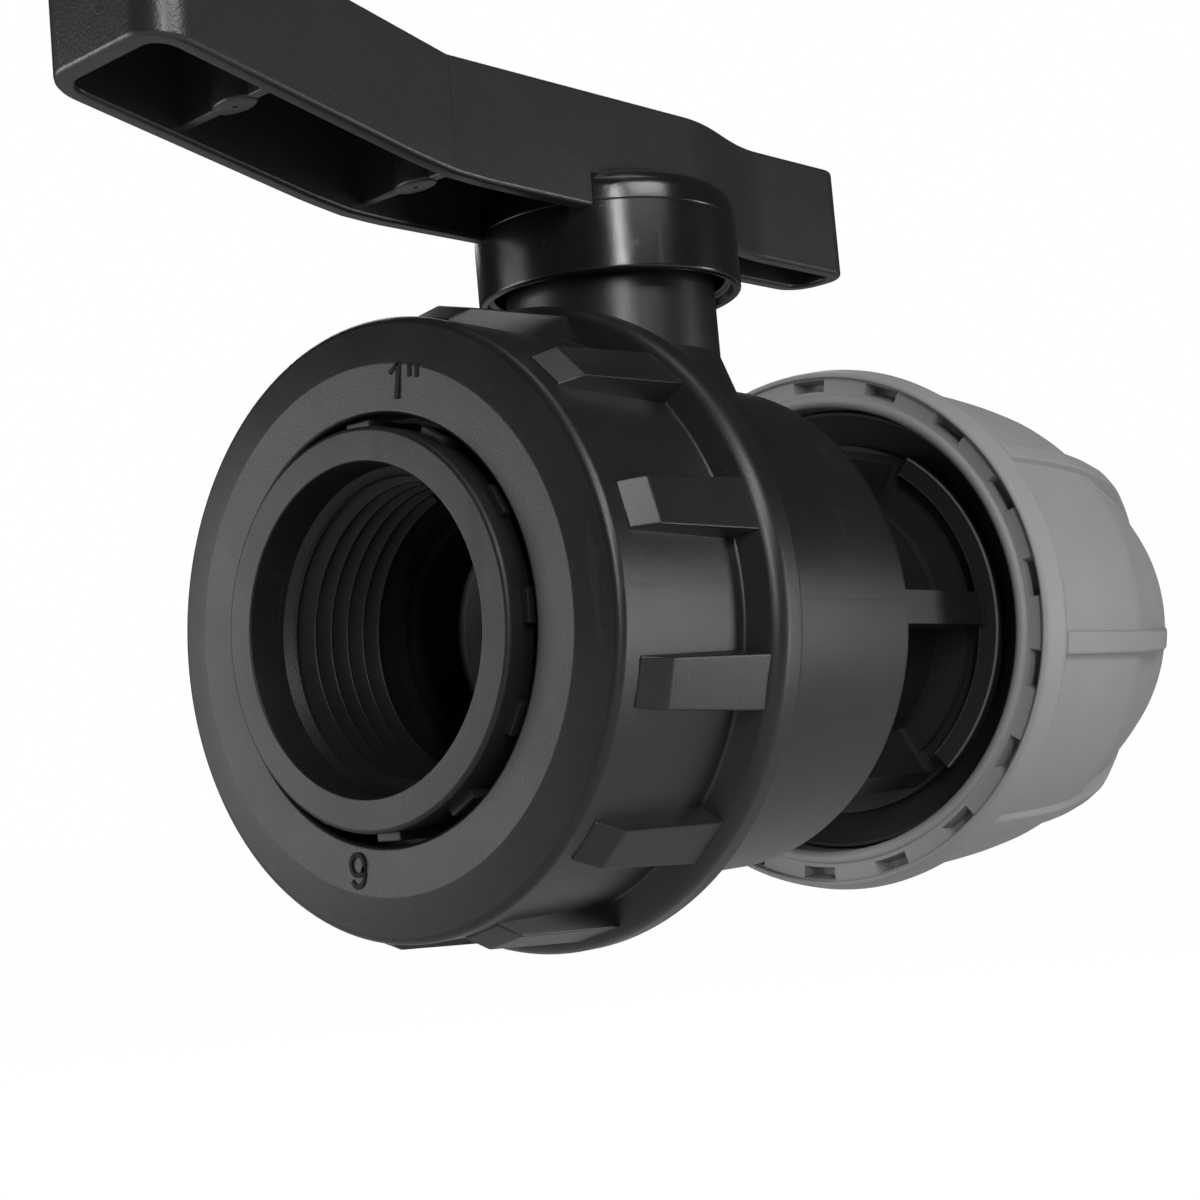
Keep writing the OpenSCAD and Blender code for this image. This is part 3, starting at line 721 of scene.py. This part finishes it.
def raise_ribs(nut):
    """Draws the skin out into eight soft ribs with straight sides."""
    for corner in nut.verts:
        x, y, z = corner.co
        if x < RIBS_FRONT or x > RIBS_REAR or math.hypot(y, z) < on_line(SKIN, x) - 0.05:
            continue
        angle = math.atan2(-z, -y) - RIB_TURN
        middle = round(angle / RIB_PITCH) * RIB_PITCH
        steps = round((angle - middle) / NUT_STEP)
        count = abs(steps)
        if count > RIB_REACH:
            continue
        radius = on_line(SKIN, x)
        if count <= RIB_EDGE:
            across = RIB_STEPS[count]
            radius += RIB_SHARES[count] * max(0, on_line(RIBS, x) - radius)
        else:
            beyond = (count - RIB_EDGE) / (RIB_REACH - RIB_EDGE)
            across = RIB_STEPS[RIB_EDGE] + (RIB_REACH * NUT_STEP * radius - RIB_STEPS[RIB_EDGE]) * beyond
        turn = middle + RIB_TURN + math.copysign(across / radius, steps)
        corner.co = (x, -radius * math.cos(turn), -radius * math.sin(turn))


def sink_windows(nut):
    """Eighteen pockets with sloped ends in the channel of the front."""
    pockets = []
    for face in nut.faces:
        x, y, z = face.calc_center_median()
        angle = math.degrees(math.atan2(-z, -y) - FIRST_STEP)
        off_middle = abs(angle - WINDOW_PITCH * round(angle / WINDOW_PITCH))
        if 36.6 < x < 36.8 and 31.3 < math.hypot(y, z) < 32.9 and off_middle < WINDOW_HALF:
            pockets.append(face)
    bmesh.ops.inset_region(nut, faces=pockets, thickness=0.4, depth=-2.2, use_even_offset=True)


def compression_nut():
    skin = [(on_line(SKIN, x), x) for x in [42 + 1.55 * i for i in range(32)]]
    front = [(27.6, 44.6), (29.25, 44.4, 0.3), (29.25, 36.7, 0.35), (29.9, 36.1, 0.4), (30.7, 36.3, 0.25),
             (30.8, 36.7, 0.1), (31.3, 36.7), (32.9, 36.7), (33.0, 36.7, 0.1), (33.15, 36.05, 0.25),
             (33.8, 36.25, 0.4), (34.15, 37.6, 0.6), (34.6, 40.0, 0.8), (33.75, 41.4, 0.5)]
    rear = [(on_line(SKIN, 91.4), 91.4), (23.9, 92.3, 0.5), (16.65, 92.3, 0.5), (16.65, 82.3), (19.5, 82.3),
            (24.9, 67.0), (27.6, 65.8)]
    nut = turned(front + skin + rear, NUT_STEPS, FIRST_STEP)
    raise_ribs(nut)
    sink_windows(nut)
    finish_piece(nut, "Compression_nut", "rear_nut", nut_grey, ["compression_nut"])


compression_nut()


# ---- raised steps between the tail's ribs, and the collar behind them ----

STEP_STARTS = (-54, 126)
STEP_SPAN = 104


def tail_steps():
    """The collar stands just inside the grey nut's mouth, the steps on the near and the far side."""
    steps = turned([(24.3, 42.6), (24.3, 43.4), (28.9, 43.4, 0.3), (28.9, 39.5, 0.2), (28.5, 39.5, 0.15)])
    rows = [(22.9, 39.2, 0.15), (25.4, 39.4, 0.2), (25.4, 41.2), (22.9, 41.2)]
    for start in STEP_STARTS:
        add_to(steps, turned_part(rows, start, start + STEP_SPAN, 78))
    finish_piece(steps, "Tail_steps", "housing", tail_black)


tail_steps()


# ---- camera, floor and lights ----

EYE_PLACE = (-172.02, -138.15, -15.29)
EYE_AROUND = math.radians(-50.11)
EYE_TILT = math.radians(-4.96)
EYE_ROLL = math.radians(-4.95)
EYE_LENS = 56.604
EYE_SENSOR = 36
FLOOR_HEIGHT = -0.16
FLOOR_GLOW = 1.12
# Shares of the floor's glow, and strength of the air's light, on the rays that see, mirror or light
FLOOR_SEEN = 0.88
FLOOR_MIRRORED = 0.05
AIR_MIRRORED = 0.03
AIR_LIGHT = 0.14


def camera():
    """Stands where the photograph was taken: low in front of the union end, looking a little up."""
    around, tilt, roll = EYE_AROUND, EYE_TILT, EYE_ROLL
    back = Vector((math.sin(around) * math.cos(tilt), -math.cos(around) * math.cos(tilt), math.sin(tilt)))
    right = STEM.cross(back).normalized()
    up = back.cross(right)
    level_right = right * math.cos(roll) + up * math.sin(roll)
    level_up = up * math.cos(roll) - right * math.sin(roll)
    lens = bpy.data.cameras.new("Camera")
    lens.sensor_width = EYE_SENSOR
    lens.lens = EYE_LENS
    lens.clip_start = 0.01
    eye = bpy.data.objects.new("Camera", lens)
    turn = Matrix((level_right, level_up, back)).transposed().to_4x4()
    eye.matrix_world = Matrix.Translation(Vector(EYE_PLACE) * MM) @ turn
    bpy.context.scene.collection.objects.link(eye)
    bpy.context.scene.camera = eye


def lamp(name, place, aim, width, height, power):
    """A soft box, in metres and watts, that faces the place it is aimed at."""
    light = bpy.data.lights.new(name, "AREA")
    light.shape = "RECTANGLE"
    light.size = width
    light.size_y = height
    light.energy = power
    holder = bpy.data.objects.new(name, light)
    holder.location = place
    holder.rotation_euler = (Vector(aim) - Vector(place)).to_track_quat("-Z", "Y").to_euler()
    bpy.context.scene.collection.objects.link(holder)


def floor():
    plane = bmesh.new()
    bmesh.ops.create_grid(plane, x_segments=1, y_segments=1, size=6)
    bmesh.ops.translate(plane, vec=(0, 0, FLOOR_HEIGHT), verts=plane.verts[:])
    mesh = bpy.data.meshes.new("Floor")
    plane.to_mesh(mesh)
    plane.free()
    piece = bpy.data.objects.new("Floor", mesh)
    bpy.context.scene.collection.objects.link(piece)
    finish = Finish("Floor_white")
    finish.set(Base_Color=(0.6, 0.6, 0.6, 1), Roughness=0.9)
    seen = finish.rays("Camera") + finish.rays("Transmission")
    glow = finish.node("ShaderNodeEmission", None, {"Color": (1, 1, 1, 1), "Strength": FLOOR_GLOW})
    mixed = finish.node("ShaderNodeMixShader", None,
                        {0: seen * FLOOR_SEEN + finish.rays("Glossy") * FLOOR_MIRRORED,
                         1: Amount(finish, finish.surface.outputs[0]), 2: glow})
    finish.feed(finish.tree.nodes["Material Output"].inputs["Surface"], mixed)
    mesh.materials.append(finish.material)


def surroundings():
    world = bpy.data.worlds.new("Studio")
    world.use_nodes = True
    air = Nodes(world.node_tree)
    seen = air.rays("Camera") + air.rays("Transmission")
    glossy = air.rays("Glossy")
    light = air.tree.nodes["Background"]
    light.inputs["Color"].default_value = (1, 1, 1, 1)
    air.feed(light.inputs["Strength"], seen + glossy * AIR_MIRRORED + (1 - seen - glossy) * AIR_LIGHT)
    bpy.context.scene.world = world
    bpy.context.scene.view_settings.view_transform = "Standard"


camera()
floor()
surroundings()
lamp("Left_box", (-0.39, 0.45, 0.03), (0, 0, 0), 0.3, 0.28, 1.5)
lamp("Right_box", (-0.09, -0.50, 0.34), (0, 0, 0), 0.3, 0.2, 1.7)
lamp("Top_box", (0.0, -0.2, 0.75), (0, 0, 0), 0.3, 0.3, 0.6)
lamp("Strip", (-0.385, -0.48, 0.2), (0, 0, 0.02), 0.03, 0.36, 1.8)
lamp("Back_box", (0.35, 0.42, 0.4), (0, 0, 0), 0.4, 0.4, 1.6)
lamp("Rear_box", (0.395, -0.452, -0.04), (0, 0, 0), 0.1, 0.3, 1.0)
